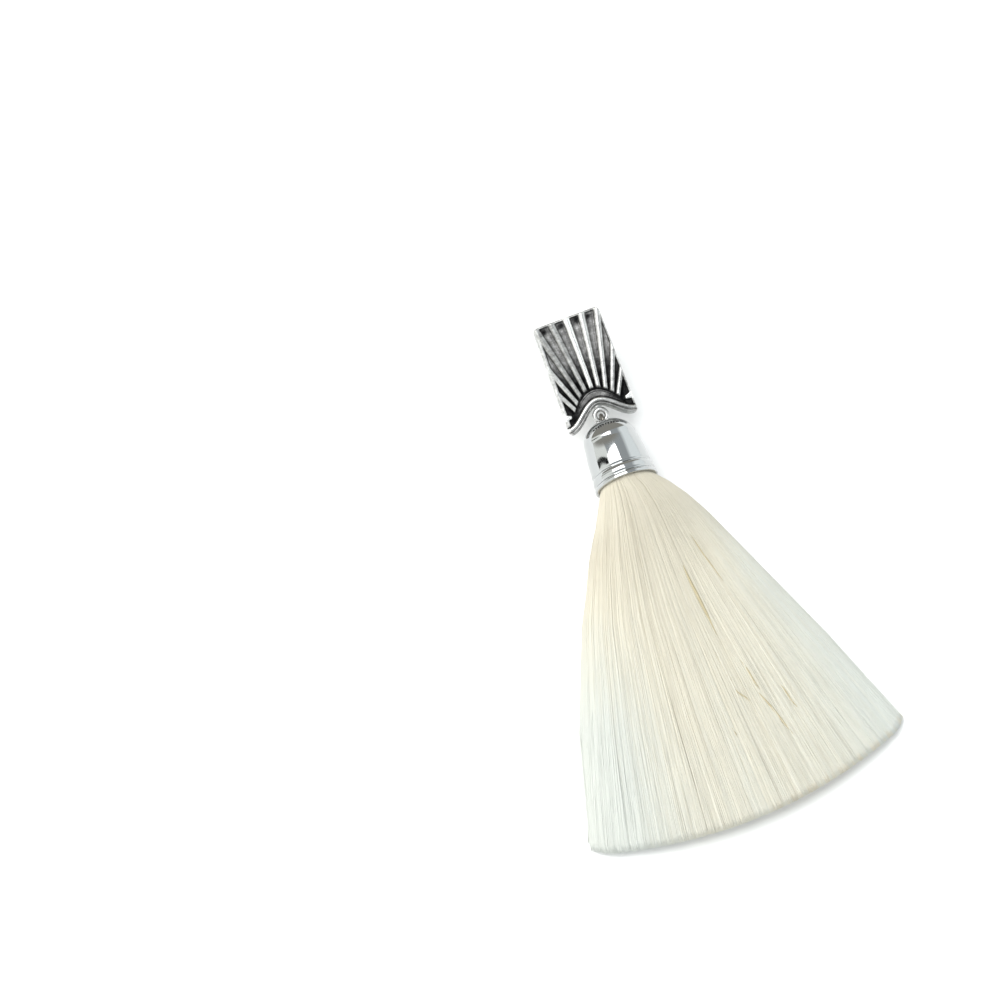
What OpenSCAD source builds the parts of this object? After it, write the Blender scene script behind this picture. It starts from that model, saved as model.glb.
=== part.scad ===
// A drop earring: a cast plate stud, an eye pin, a bell cap and a long cut tassel.
// The plate carries a fan of nine raised rays over a moulded foot shaped like an ogee arch.
// It lies face up as it does on a table, on the tip of its post, the mouth of the cap and the tassel.
// The origin is the root of the ear post. +Y points to the plate's top edge and +Z away from the table.

/* [Stud plate] */
// Width of the cast plate at its foot
plate_w = 10.6; // [8.5:0.1:12.5]
// How much narrower the plate is at its top edge
plate_taper = 0.4; // [0:0.1:1]
// Length of the plate from its top edge to the foot of its two lobes
plate_l = 16.25; // [14:0.05:19]
// Thickness of the plate under its relief
plate_t = 1.2; // [0.8:0.1:2]
// Radius of the plate's corners
plate_corner_r = 0.8; // [0.3:0.1:1.2]
// Height of the arch above the lobes
arch_rise = 2.9; // [2.2:0.1:3.4]
// Width of the moulding that follows the arch
rim_w = 1; // [0.8:0.05:1.4]
// Height of that moulding above the plate's ground
rim_h = 0.55; // [0.3:0.05:0.8]
// How far the foot flares out below the moulding
foot_flare = 0.3; // [0.1:0.05:0.5]
// Width of the plain border on the left side
border_left = 0.55; // [0.2:0.05:0.8]
// Width of the plain border on the right side
border_right = 0.3; // [0.2:0.05:0.8]
// Width of the plain border along the top edge
border_top = 0.35; // [0.2:0.05:0.8]
// Height of the border above the plate's ground
border_h = 0.3; // [0.15:0.05:0.5]

/* [Fan of rays] */
// Number of rays
ray_count = 9; // [5:2:11]
// Angle between two rays, in degrees
ray_step_deg = 7; // [6:0.05:9]
// Radius of a ray's half round section at its root
ray_root_r = 0.24; // [0.15:0.01:0.3]
// Radius of a ray's section at its far end
ray_tip_r = 0.44; // [0.3:0.01:0.5]
// Distance from the lobes down to the point where the rays would meet
ray_focus_drop = 3.15; // [2.5:0.05:4.5]
// Distance from the arch's moulding up to the hub line, at the middle
hub_gap = 0.95; // [0.6:0.05:1.4]
// How far the hub line falls from the middle to the side of the plate
hub_fall = 5.9; // [4:0.1:8]
// Width of the hub line
hub_line_w = 0.28; // [0.15:0.01:0.4]
// Distance from the hub line to the roots of the rays
ray_start = 0.45; // [0.3:0.05:0.8]

/* [Hanging loop and post] */
// Outer radius of the loop under the arch
loop_r = 1.25; // [1.1:0.05:1.5]
// Radius of the hole in that loop
loop_hole_r = 0.55; // [0.45:0.01:0.65]
// Thickness of the loop
loop_t = 0.8; // [0.5:0.05:0.9]
// Distance from the arch's lower edge to the centre of the hole
loop_drop = 1.75; // [1.5:0.05:2]
// Width of the neck that joins the loop to the arch
neck_w = 1.5; // [1:0.05:2]
// Distance from the plate's top edge to the ear post
post_drop = 4.4; // [3:0.1:6]
// Radius of the ear post
post_r = 0.4; // [0.35:0.01:0.5]
// Length of the ear post from its pad to its tip
post_len = 8; // [7:0.1:11]
// Radius of the flat pad at the root of the post
pad_r = 2; // [1.5:0.1:2.5]
// Thickness of the pad
pad_t = 0.4; // [0.3:0.05:0.8]
// Thickness of the glue line between the pad and the plate
glue_gap = 0.05; // [0.02:0.01:0.1]

/* [Eye pin] */
// Radius of the eye pin's wire
pin_wire_r = 0.3; // [0.25:0.01:0.35]
// Radius of the eye from its centre to the middle of the wire
eye_r = 0.95; // [0.9:0.01:1.05]
// Radius of the stop on the inner end of the pin
stop_r = 0.8; // [0.6:0.05:1]
// How far the loop's bar sits above the cap's axis
eye_lift = 0.2; // [0:0.05:0.3]
// Angle by which the hanging part is turned against the plate, in degrees
hang_turn_deg = -1.9; // [-4:0.1:4]

/* [Cap] */
// Length of the cap from its apex to its mouth
cap_l = 10.3; // [8.5:0.1:12]
// Radius of the cap at its mouth
cap_mouth_r = 4.75; // [4.2:0.05:5.5]
// Radius of the cap at the shoulder of its dome
cap_shoulder_r = 4; // [3.4:0.05:4.4]
// Height of the dome from the shoulder to the apex
cap_dome_h = 3.4; // [2.6:0.1:4]
// Wall of the cap
cap_wall = 0.6; // [0.4:0.05:0.8]
// Depth of solid metal from the apex to the hollow
cap_crown_t = 2.1; // [1.9:0.05:2.4]
// Radius of the seat for the eye in the apex
seat_r = 1.4; // [1.35:0.01:1.6]
// Depth of the eye's seat
seat_depth = 1.4; // [1.2:0.05:1.5]
// Number of fine grooves round the mouth
groove_count = 2; // [1:1:4]
// Distance from one groove to the next
groove_pitch = 1.35; // [0.8:0.05:1.6]
// Distance from the mouth to the first groove
groove_inset = 0.8; // [0.4:0.05:1]
// Width of a groove
groove_w = 0.4; // [0.2:0.02:0.5]
// Depth of a groove
groove_depth = 0.2; // [0.08:0.01:0.24]

/* [Tassel] */
// Length of the fibres from the cap's apex to their cut ends
tassel_reach = 63.4; // [50:0.1:75]
// How much longer the left edge of the fan is than its middle
cut_slant = 1.1; // [-2:0.1:2]
// Half of the angle over which the fibres fan out, in degrees
fan_half_deg = 22.9; // [16:0.1:26]
// How evenly the fan opens: 1 opens at a steady rate, less opens sooner
fan_opening = 0.8; // [0.7:0.01:1]
// Angle by which the fan leans to the right of the cap's axis, in degrees
fan_lean_deg = 1.6; // [-5:0.1:5]
// Further lean close to the mouth, which the fibres lose again, in degrees
fan_hook_deg = 2.2; // [0:0.1:4]
// Thickness of the fan at its cut ends
fan_t = 3.2; // [2:0.1:4]
// Distance beyond the mouth over which the bundle sinks to the table
fan_settle = 10; // [7:0.5:14]
// Clearance between the fibres and the inside of the cap
bundle_gap = 0.18; // [0.14:0.02:0.3]
// Difference in length between the longest and the shortest lock
cut_spread = 1.1; // [0:0.1:2]
// Sideways wave of a lock, as an angle in degrees
lock_wave_deg = 0.35; // [0:0.05:0.6]

/* [Hidden] */
$fn = 40;

// Clearance that keeps two separate pieces apart
gap = 0.1;
// Overlap by which shapes of one casting run into each other
merge = 0.05;

// Plate, in its own plane: the post's root is at its origin and its back lies at plate_back
plate_back = pad_t + glue_gap;
ground = plate_back + plate_t;
half_w = plate_w / 2;
half_top_w = (plate_w - plate_taper) / 2;
foot_y = post_drop - plate_l;
arch_foot_y = foot_y + rim_w / 2;
arch_top_y = arch_foot_y + arch_rise;
hole_y = arch_top_y - rim_w / 2 - loop_drop;
loop_mid = plate_back + loop_t / 2;
focus_y = foot_y - ray_focus_drop;
hub_top_y = arch_top_y + rim_w / 2 + hub_gap;
arch_steps = 28;
ray_root = hub_top_y - focus_y - hub_fall / 2;
ray_len = plate_l + ray_focus_drop;
// Distance that the rays keep from the arch's centreline, as a share of rim_w
ray_clearance = 0.85;

// Steps of the moulding: lower and upper edge from its centreline as shares of rim_w, top as a share of rim_h
RIM_STEPS = [[-0.46, 0.44, 0.35], [-0.34, 0.3, 0.75], [-0.2, 0.16, 1]];
// Steps of the flared foot: top as a share of plate_t, flare as a share of foot_flare
FOOT_STEPS = [[1, 0], [0.72, 0.5], [0.45, 1]];
// Corners of the small patch beside a lobe: distances in from the side and up from the foot, as shares of rim_w
PATCH = [[0, 2], [0, 2.9], [1.1, 2.35]];

// Where the loop's lower bar crosses the earring's middle plane, measured from the post's root
bar_y = hole_y - (loop_hole_r + loop_r) / 2;

// The plate tips down until that bar reaches the eye, while the post's tip stays on the table
bar_reach = -bar_y - post_r;
prop_height = post_len + loop_mid;
pitch = acos((cap_mouth_r + eye_lift) / norm([prop_height, bar_reach])) - atan(bar_reach / prop_height);
table_z = -(post_len * cos(pitch) + post_r * sin(pitch));
eye_y = bar_y * cos(pitch) - loop_mid * sin(pitch);
axis_z = table_z + cap_mouth_r;
apex_y = eye_y - (eye_r + pin_wire_r) + seat_depth - gap;

// Cap, along its own axis from the apex to the mouth
bore_r = pin_wire_r + gap;
hollow_r = cap_mouth_r - cap_wall;
hollow_dome_r = cap_shoulder_r - cap_wall;
hollow_dome_end = cap_dome_h + cap_wall;
stop_depth = cap_crown_t + gap + stop_r / 2;
dome_steps = 10;

// Bundle of fibres, by distance from the cap's apex
head_start = stop_depth + stop_r / 2 + gap;
head_bevel = 0.6;
lock_start = cap_l * 0.62;
// Share of the middle's thickness that is left at the fan's edges, squared
edge_share = 0.05;
// How soon the bundle thins out past the mouth, as a power: higher thins sooner
thinning = 2.2;
// Stations along a lock, as shares of its length past the cap's mouth, after two inside the cap
STATIONS = [0.03, 0.08, 0.14, 0.21, 0.3, 0.42, 0.56, 0.7, 0.85, 1];
// Layers of locks: height in the bundle and half thickness as shares of it, number of locks, seed
LAYERS = [[-0.6, 0.4, 13, 3], [0.02, 0.42, 12, 11], [0.6, 0.4, 11, 23]];
lock_sides = 6;
// Width of a lock as a share of an even division of the fan, and the share of it that is lost at its tip
lock_share = 1.34;
tip_share = 0.3;

// Smooth step from 0 to 1
function ease(s) = s <= 0 ? 0 : s >= 1 ? 1 : s * s * (3 - 2 * s);

// Centreline of the arch across the plate, and its slope
function arch_y(x) = arch_foot_y + arch_rise * (1 + cos(180 * x / half_w)) / 2;
function arch_slope(x) = -arch_rise * PI / (2 * half_w) * sin(180 * x / half_w);

// Point at a distance square to the centreline, above it where the distance is positive
function arch_point(x, off) =
    let (m = arch_slope(x), n = norm([1, m]))
    [x - m * off / n, arch_y(x) + off / n];

// Points along the arch from left to right at one distance from its centreline
function arch_line(off) =
    [for (i = [0:arch_steps]) arch_point(half_w * (2 * i / arch_steps - 1), off)];

// Points along the hub line from left to right, moved up by a distance
function hub_points(up) =
    [for (i = [0:arch_steps]) let (s = 2 * i / arch_steps - 1) [half_w * s, hub_top_y - hub_fall * s * s + up]];

// A list in the opposite order
function flip(list) = [for (i = [len(list) - 1:-1:0]) list[i]];

// Both sides of a shape from the points of its right side, going round once
function mirrored(right) = concat(right, [for (p = flip(right)) [-p[0], p[1]]]);

// Flat shape with round corners, a little narrower at the top
module round_plate(top_w, foot_w, top, foot, r) {
    polygon(mirrored([
        [foot_w - r, foot], [foot_w, foot + r], [top_w, top - r], [top_w - r, top]
    ]));
    for (side = [-1, 1]) {
        translate([side * (top_w - r), top - r]) circle(r);
        translate([side * (foot_w - r), foot + r]) circle(r);
    }
}

// Outline of the plate, its foot flared and its sides drawn in by the given amounts
module plate_outline(flare = 0, inset = 0) {
    intersection() {
        round_plate(half_top_w - inset, half_w - inset, post_drop - inset, foot_y - flare, plate_corner_r);
        polygon(concat(
            [[half_w, post_drop + 1], [-half_w, post_drop + 1]],
            arch_line(-rim_w / 2 - flare)
        ));
    }
}

// Band along the arch between two distances from its centreline
module arch_band(low, high) {
    intersection() {
        plate_outline(foot_flare, merge);
        polygon(concat(arch_line(low), flip(arch_line(high))));
    }
}

// Part of the plate that the rays cross, clear of the moulding
module ray_field() {
    intersection() {
        plate_outline(0, merge);
        polygon(concat(
            [[half_w, post_drop], [-half_w, post_drop]],
            arch_line(rim_w * ray_clearance)
        ));
    }
}

// Half round ray that grows from its root to its far end
module ray(angle) {
    translate([0, focus_y, ground])
        rotate([-90, 0, angle])
            translate([0, 0, ray_root])
                cylinder(h = ray_len - ray_root, r1 = ray_root_r, r2 = ray_tip_r, $fn = 28);
}

// All rays, cut off above the hub line and inside the plate's edge
module rays() {
    intersection() {
        for (i = [0:ray_count - 1]) {
            ray(ray_step_deg * (i - (ray_count - 1) / 2));
        }
        translate([0, 0, ground - merge]) linear_extrude(1) intersection() {
            ray_field();
            polygon(concat([[half_w, post_drop], [-half_w, post_drop]], hub_points(ray_start)));
        }
    }
}

// Thin raised line between the rays and the moulding
module hub_line() {
    translate([0, 0, ground - merge]) linear_extrude(hub_line_w / 2 + merge) intersection() {
        ray_field();
        polygon(concat(hub_points(-hub_line_w / 2), flip(hub_points(hub_line_w / 2))));
    }
}

// Plain border along the sides and the top
module border() {
    translate([0, 0, ground - merge]) linear_extrude(border_h + merge) difference() {
        ray_field();
        polygon([
            [border_left - half_w, foot_y],
            [half_w - border_right, foot_y],
            [half_top_w - border_right, post_drop - border_top],
            [border_left - half_top_w, post_drop - border_top]
        ]);
    }
}

// Small raised triangle beside each lobe
module lobe_patches() {
    for (side = [-1, 1]) {
        translate([0, 0, ground - merge]) linear_extrude(border_h + 2 * merge)
            polygon([for (p = PATCH) [side * (half_w - 2 * merge - p[0] * rim_w), foot_y + p[1] * rim_w]]);
    }
}

// Flat loop with its neck, cast in one with the plate's foot
module hanging_loop() {
    translate([0, 0, plate_back]) difference() {
        union() {
            translate([0, hole_y]) cylinder(h = loop_t, r = loop_r);
            translate([-neck_w / 2, hole_y + loop_hole_r])
                cube([neck_w, arch_top_y - hole_y - loop_hole_r, loop_t]);
        }
        translate([0, hole_y, -1]) cylinder(h = loop_t + 2, r = loop_hole_r);
    }
}

// Cast plate with its relief, moulded foot and hanging loop
module stud_plate() {
    color("silver") rotate([pitch, 0, 0]) union() {
        for (step = FOOT_STEPS) {
            translate([0, 0, plate_back]) linear_extrude(plate_t * step[0])
                plate_outline(foot_flare * step[1]);
        }
        for (step = RIM_STEPS) {
            translate([0, 0, ground - merge]) linear_extrude(rim_h * step[2] + merge)
                arch_band(rim_w * step[0], rim_w * step[1]);
        }
        rays();
        hub_line();
        border();
        lobe_patches();
        hanging_loop();
    }
}

// Straight post on the flat pad that is glued to the back of the plate
module ear_post() {
    color("gainsboro") rotate([pitch, 0, 0]) union() {
        cylinder(h = pad_t, r = pad_r);
        translate([0, 0, -post_len]) cylinder(h = post_len + pad_t / 2, r = post_r);
    }
}

// Turns the hanging part about the upright line through the eye
module hung() {
    translate([0, eye_y, 0]) rotate([0, 0, hang_turn_deg]) translate([0, -eye_y, 0]) children();
}

// Places a child that stands on +Z from the apex along the cap's axis
module along_cap() {
    translate([0, apex_y, axis_z]) rotate([90, 0, 0]) children();
}

// Wire eye round the loop's lower bar, with a stem and a stop inside the cap
module eye_pin() {
    color("gainsboro") hung() union() {
        translate([0, eye_y, axis_z]) rotate([0, 90, 0]) rotate_extrude()
            translate([eye_r, 0]) circle(pin_wire_r);
        along_cap() translate([0, 0, seat_depth - gap - pin_wire_r])
            cylinder(h = stop_depth - seat_depth + gap + pin_wire_r, r = pin_wire_r);
        along_cap() translate([0, 0, cap_crown_t + gap]) cylinder(h = stop_r, r = stop_r);
    }
}

// Radius of the cap's outside past the shoulder
function skirt_r(d) =
    cap_shoulder_r + (cap_mouth_r - cap_shoulder_r) * (d - cap_dome_h) / (cap_l - cap_dome_h);

// Outline of the dome from the edge of the seat to the shoulder, for a dome of radius r and height h
function dome_line(first_r, r, h, start) =
    let (t0 = asin(first_r / r))
    [for (i = [0:dome_steps]) let (t = t0 + (90 - t0) * i / dome_steps) [r * sin(t), start + h * (1 - cos(t))]];

// Three points of one groove round the skirt
function groove_points(d) = [
    [skirt_r(d - groove_w / 2), d - groove_w / 2],
    [skirt_r(d) - groove_depth, d],
    [skirt_r(d + groove_w / 2), d + groove_w / 2]
];

// Outside of the cap from the seat to the mouth
function cap_outline() = concat(
    dome_line(seat_r, cap_shoulder_r, cap_dome_h, 0),
    [for (i = [groove_count - 1:-1:0]) each groove_points(cap_l - groove_inset - i * groove_pitch)],
    [[cap_mouth_r, cap_l]]
);

// Inside of the cap from the bore to the mouth
function hollow_outline() = concat(
    dome_line(bore_r, hollow_dome_r, hollow_dome_end - cap_crown_t, cap_crown_t),
    [[hollow_r, cap_l]]
);

// Bell cap with a seat for the eye and a bore for its stem
module tassel_cap() {
    color("whitesmoke") hung() along_cap() difference() {
        rotate_extrude() polygon(concat([[0, seat_depth / 2]], cap_outline(), [[0, cap_l]]));
        rotate_extrude() polygon(concat(
            [[0, cap_crown_t]],
            hollow_outline(),
            [[hollow_r, cap_l + 1], [0, cap_l + 1]]
        ));
        translate([0, 0, -1]) cylinder(h = 1 + seat_depth, r = seat_r);
        cylinder(h = cap_crown_t + 1, r = bore_r);
    }
}

// Share of the fan's length that lies between the mouth and a distance from the apex
function past_mouth(d) = max(0, min(1, (d - cap_l) / (tassel_reach - cap_l)));

// Radius that the cap leaves for the bundle
function core_r(d) =
    let (s = (min(d, cap_l) - hollow_dome_end) / (cap_l - hollow_dome_end))
    hollow_dome_r + (hollow_r - hollow_dome_r) * s - bundle_gap;

// Thickness of the bundle at a distance from the apex and a share of the fan's half width
function bundle_t(d, u) =
    (fan_t + (2 * core_r(d) - fan_t) * pow(1 - past_mouth(d), thinning)) * sqrt(1 - (1 - edge_share) * u * u);

// Lowest point of the bundle there: round the cap's axis at the mouth, flat on the table further out
function bundle_low(d, u) =
    let (settled = ease((d - cap_l) / fan_settle))
    (axis_z - bundle_t(d, u) / 2) * (1 - settled) + table_z * settled;

// Half width of the bundle there, held in by the cap up to its mouth
function bundle_half(d) =
    core_r(d) + (tassel_reach * sin(fan_half_deg) - core_r(d)) * pow(past_mouth(d), fan_opening);

// Lean of the bundle there, in degrees
function bundle_lean(d) =
    let (past = d - cap_l)
    (fan_lean_deg + fan_hook_deg * (1 - ease(past / (2 * fan_settle)))) * ease(past / (fan_settle / 3));

// Point of the bundle from its distance and its shares of width and thickness, each from -1 to 1
function bundle_point(d, u, v) =
    let (
        spread = ease((d - cap_l) / fan_settle),
        turn = asin(min(1, bundle_half(d) * abs(u) / d)) * sign(u) + bundle_lean(d),
        out = d * (1 - spread) + d * cos(turn) * spread
    )
    [
        d * sin(turn),
        apex_y - out,
        bundle_low(d, u) + (v + 1) / 2 * bundle_t(d, u)
    ];

// Closed body through rings of points that run from the head to the tips
module ring_body(rings) {
    n = len(rings[0]);
    last = len(rings) - 1;
    polyhedron(
        points = [for (ring = rings) each ring],
        faces = concat(
            [[for (j = [0:n - 1]) j]],
            [[for (j = [n - 1:-1:0]) last * n + j]],
            [for (m = [0:last - 1], j = [0:n - 1]) [m * n + (j + 1) % n, m * n + j, (m + 1) * n + j]],
            [for (m = [0:last - 1], j = [0:n - 1]) [m * n + (j + 1) % n, (m + 1) * n + j, (m + 1) * n + (j + 1) % n]]
        )
    );
}

// One lock: a flattened strand of fibres that starts in the head and ends at the cut
module lock(u, v, half_u, half_v, reach, phase) {
    stops = concat([lock_start, cap_l], [for (s = STATIONS) cap_l + (reach - cap_l) * s]);
    ring_body([for (d = stops)
        let (
            s = past_mouth(d),
            wave = lock_wave_deg / fan_half_deg * sin(360 * s + phase) * s,
            narrow = 1 - tip_share * pow(s, 3)
        )
        [for (j = [0:lock_sides - 1])
            let (t = 360 * j / lock_sides + 90)
            bundle_point(
                d,
                max(-1, min(1, (u + wave * (1 - abs(u))) + half_u * narrow * cos(t))),
                v + half_v * sin(t)
            )
        ]
    ]);
}

// Locks of one layer, side by side across the fan
module lock_layer(layer) {
    count = layer[2];
    half_u = lock_share / count;
    cuts = rands(0, 1, count, layer[3]);
    phases = rands(0, 360, count, layer[3] + 1);
    for (i = [0:count - 1]) {
        u = (1 - half_u) * (2 * i / (count - 1) - 1);
        lock(u, layer[0], half_u, layer[1], tassel_reach - cut_slant * u - cut_spread * cuts[i], phases[i]);
    }
}

// Round head of the tassel inside the cap, which the locks grow from
module tassel_head() {
    inner = hollow_dome_r - bundle_gap;
    rings = [
        [head_start, inner - 2 * head_bevel],
        [head_start + head_bevel, inner - head_bevel / 2],
        [hollow_dome_end, inner],
        [cap_l - gap, core_r(cap_l) - gap]
    ];
    ring_body([for (ring = rings)
        [for (t = [0:15:345]) [ring[1] * cos(t), apex_y - ring[0], axis_z + ring[1] * sin(t)]]
    ]);
}

// Tassel: locks fused to the head
module tassel() {
    color("oldlace") hung() union() {
        tassel_head();
        for (layer = LAYERS) {
            lock_layer(layer);
        }
    }
}

stud_plate();
ear_post();
eye_pin();
tassel_cap();
tassel();
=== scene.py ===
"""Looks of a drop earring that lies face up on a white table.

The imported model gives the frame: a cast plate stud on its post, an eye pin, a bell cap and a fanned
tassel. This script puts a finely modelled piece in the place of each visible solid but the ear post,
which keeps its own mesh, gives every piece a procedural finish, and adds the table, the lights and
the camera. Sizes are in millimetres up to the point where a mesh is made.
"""

import logging
import math
from dataclasses import dataclass
from enum import Enum

import bmesh
import bpy
import numpy as np
from mathutils import Matrix, Vector


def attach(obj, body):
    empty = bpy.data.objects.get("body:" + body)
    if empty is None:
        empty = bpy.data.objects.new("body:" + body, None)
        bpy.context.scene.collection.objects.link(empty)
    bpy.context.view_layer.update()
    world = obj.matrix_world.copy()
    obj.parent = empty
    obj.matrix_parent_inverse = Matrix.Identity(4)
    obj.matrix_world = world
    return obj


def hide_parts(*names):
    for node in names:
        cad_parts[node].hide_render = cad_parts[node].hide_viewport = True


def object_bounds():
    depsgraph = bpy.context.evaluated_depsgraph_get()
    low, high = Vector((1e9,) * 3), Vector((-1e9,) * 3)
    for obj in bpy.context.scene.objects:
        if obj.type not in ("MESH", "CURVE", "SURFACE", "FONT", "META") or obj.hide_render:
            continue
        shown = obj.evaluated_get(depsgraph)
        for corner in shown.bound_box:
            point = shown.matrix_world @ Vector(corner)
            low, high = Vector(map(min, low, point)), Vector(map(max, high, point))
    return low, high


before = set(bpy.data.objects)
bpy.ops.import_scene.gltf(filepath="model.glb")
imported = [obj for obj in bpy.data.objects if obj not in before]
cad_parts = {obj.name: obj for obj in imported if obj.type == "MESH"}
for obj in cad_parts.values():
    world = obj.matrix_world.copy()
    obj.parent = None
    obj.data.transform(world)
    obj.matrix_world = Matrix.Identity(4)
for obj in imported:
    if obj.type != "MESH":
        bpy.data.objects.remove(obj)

LOG = logging.getLogger("earring")
MM = 0.001
BODY = "root"
RING_STEPS = 56
CAD_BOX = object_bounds()

# Short names of types
Finish = bpy.types.Material
Piece = bpy.types.Object
Shape = bmesh.types.BMesh
Tree = bpy.types.NodeTree
Socket = bpy.types.NodeSocket
Field = np.ndarray


@dataclass(frozen=True)
class Lie:
    """How the earring lies: on the post's tip, the cap's mouth and the fibres.

    The plate tips down until its loop reaches the eye. The hanging part is turned a little against
    the plate, about the upright line through the eye.
    """

    post_len: float = 8.0
    post_r: float = 0.4
    loop_mid: float = 0.85
    bar_y: float = -11.6
    mouth_r: float = 4.75
    eye_lift: float = 0.2
    eye_out: float = 1.25
    seat_depth: float = 1.4
    clear: float = 0.1
    hang_turn: float = math.radians(-1.9)

    @property
    def pitch(self) -> float:
        """Angle by which the plate is tipped."""
        prop, reach = self.post_len + self.loop_mid, -self.bar_y - self.post_r
        lift = self.mouth_r + self.eye_lift
        return math.acos(lift / math.hypot(prop, reach)) - math.atan(reach / prop)

    @property
    def table_z(self) -> float:
        """Height of the table."""
        return -(self.post_len * math.cos(self.pitch) + self.post_r * math.sin(self.pitch))

    @property
    def axis_z(self) -> float:
        """Height of the cap's axis."""
        return self.table_z + self.mouth_r

    @property
    def eye_y(self) -> float:
        """Place of the eye's centre along the earring."""
        return self.bar_y * math.cos(self.pitch) - self.loop_mid * math.sin(self.pitch)

    @property
    def apex_y(self) -> float:
        """Place of the cap's apex along the earring."""
        return self.eye_y - self.eye_out + self.seat_depth - self.clear

    def hang(self, bm: Shape) -> None:
        """Turns a piece of the hanging part against the plate.

        Args:
            bm: The piece in millimetres.
        """
        turn = Matrix.Rotation(self.hang_turn, 3, "Z")
        bmesh.ops.rotate(bm, cent=(0, self.eye_y, 0), matrix=turn, verts=bm.verts[:])


LIE = Lie()


class Slot(Enum):
    """Material slots of the record that the pieces take their finishes from."""

    PLATE = "antiqued_silver"
    WIRE = "wire"
    CAP = "bright_silver"
    FIBRE = "ivory_fibre"


# Colour and nodes


def linear(hex_code: str) -> tuple[float, float, float, float]:
    """Turns an sRGB hex value into linear colour.

    Args:
        hex_code: Six hex digits with a leading hash.

    Returns:
        Linear red, green and blue with an alpha of 1.
    """
    parts = [int(hex_code[i : i + 2], 16) / 255 for i in (1, 3, 5)]
    curve = [c / 12.92 if c <= 0.04045 else ((c + 0.055) / 1.055) ** 2.4 for c in parts]
    return (curve[0], curve[1], curve[2], 1.0)


def add_node(
    tree: Tree, kind: str, inputs: dict[str | int, object] | None = None, **settings: object
) -> bpy.types.Node:
    """Adds one node with its settings, values and links.

    Args:
        tree: Node tree that gets the node.
        kind: Blender's name for the kind of node.
        inputs: Socket name or number to a value, or to the output socket that feeds it.
        settings: Properties of the node itself.

    Returns:
        The new node.
    """
    node = tree.nodes.new(kind)
    for name, value in settings.items():
        setattr(node, name, value)
    for name, value in (inputs or {}).items():
        if isinstance(value, Socket):
            tree.links.new(value, node.inputs[name])
        else:
            node.inputs[name].default_value = value
    return node


def new_material(name: str) -> tuple[Finish, Tree]:
    """Makes an empty node material.

    Args:
        name: Name of the material.

    Returns:
        The material and its node tree.
    """
    material = bpy.data.materials.new(name)
    material.use_nodes = True
    material.node_tree.nodes.clear()
    return material, material.node_tree


def set_ramp(node: bpy.types.Node, stops: tuple[tuple[float, str], ...]) -> None:
    """Sets the colours of a ramp.

    Args:
        node: Colour ramp node.
        stops: Places from 0 to 1 with their sRGB hex colours, in order.
    """
    elements = node.color_ramp.elements
    while len(elements) < len(stops):
        elements.new(0.5)
    for element, (place, hex_code) in zip(elements, stops):
        element.position = place
        element.color = linear(hex_code)


def drift(
    tree: Tree, value: Socket, size_mm: float, share: float, rough: float = 0.5
) -> tuple[Socket, Socket]:
    """Lets a value drift over the surface, in patches of a real size.

    Args:
        tree: Node tree of the material.
        value: Socket that gives the value.
        size_mm: Size of the patches.
        share: How far the patches move the value.
        rough: How rough the edges of the patches are.

    Returns:
        The patches themselves, and the value with its drift.
    """
    place = add_node(tree, "ShaderNodeTexCoord").outputs["Object"]
    look = {"Vector": place, "Scale": 1 / (size_mm * MM), "Detail": 2.0, "Roughness": rough}
    patches = add_node(tree, "ShaderNodeTexNoise", look).outputs["Fac"]
    centred = add_node(tree, "ShaderNodeMath", {0: patches, 1: -0.5}, operation="ADD").outputs[0]
    moved = {0: centred, 1: share, 2: value}
    drifted = add_node(tree, "ShaderNodeMath", moved, operation="MULTIPLY_ADD").outputs[0]
    return patches, drifted


@dataclass(frozen=True)
class OxidisedCasting:
    """Cast silver-tone alloy, blackened and rubbed back.

    The oxide stays in the hollows as a dull near-black film, and rubbing leaves the ridges bright.
    """

    name: str = "oxidised_cast_silver"
    tone_stops: tuple[tuple[float, str], ...] = (
        (0.0, "#0B0B0C"),
        (0.25, "#343434"),
        (0.5, "#7B7A79"),
        (0.8, "#D3D3D1"),
        (1.0, "#F4F4F2"),
    )
    grain_mm: float = 0.16
    grain_share: float = 0.38
    grain_rough: float = 0.6
    blotch_mm: float = 0.7
    blotch_share: float = 0.45
    bump_mm: float = 0.02
    rough_black: float = 0.62
    rough_bright: float = 0.24

    def make(self) -> Finish:
        """Builds the material, which reads from the attribute tone how far each spot was rubbed, and
        its painted shade.

        Returns:
            The material.
        """
        material, tree = new_material(self.name)
        tone = add_node(tree, "ShaderNodeAttribute", attribute_name="tone").outputs["Fac"]
        grain, speckled = drift(tree, tone, self.grain_mm, self.grain_share, self.grain_rough)
        _, rubbed = drift(tree, speckled, self.blotch_mm, self.blotch_share)
        colour = add_node(tree, "ShaderNodeValToRGB", {"Fac": rubbed})
        set_ramp(colour, self.tone_stops)
        gloss = {"Value": rubbed, "To Min": self.rough_black, "To Max": self.rough_bright}
        rough = add_node(tree, "ShaderNodeMapRange", gloss).outputs[0]
        relief = {"Height": grain, "Distance": self.bump_mm * MM, "Strength": 0.5}
        bump = add_node(tree, "ShaderNodeBump", relief).outputs[0]
        look = {"Base Color": colour.outputs["Color"], "Metallic": 1.0, "Normal": bump}
        shader = add_node(tree, "ShaderNodeBsdfPrincipled", {**look, "Roughness": rough})
        add_node(tree, "ShaderNodeOutputMaterial", {0: shader.outputs[0]})
        return material


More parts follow.
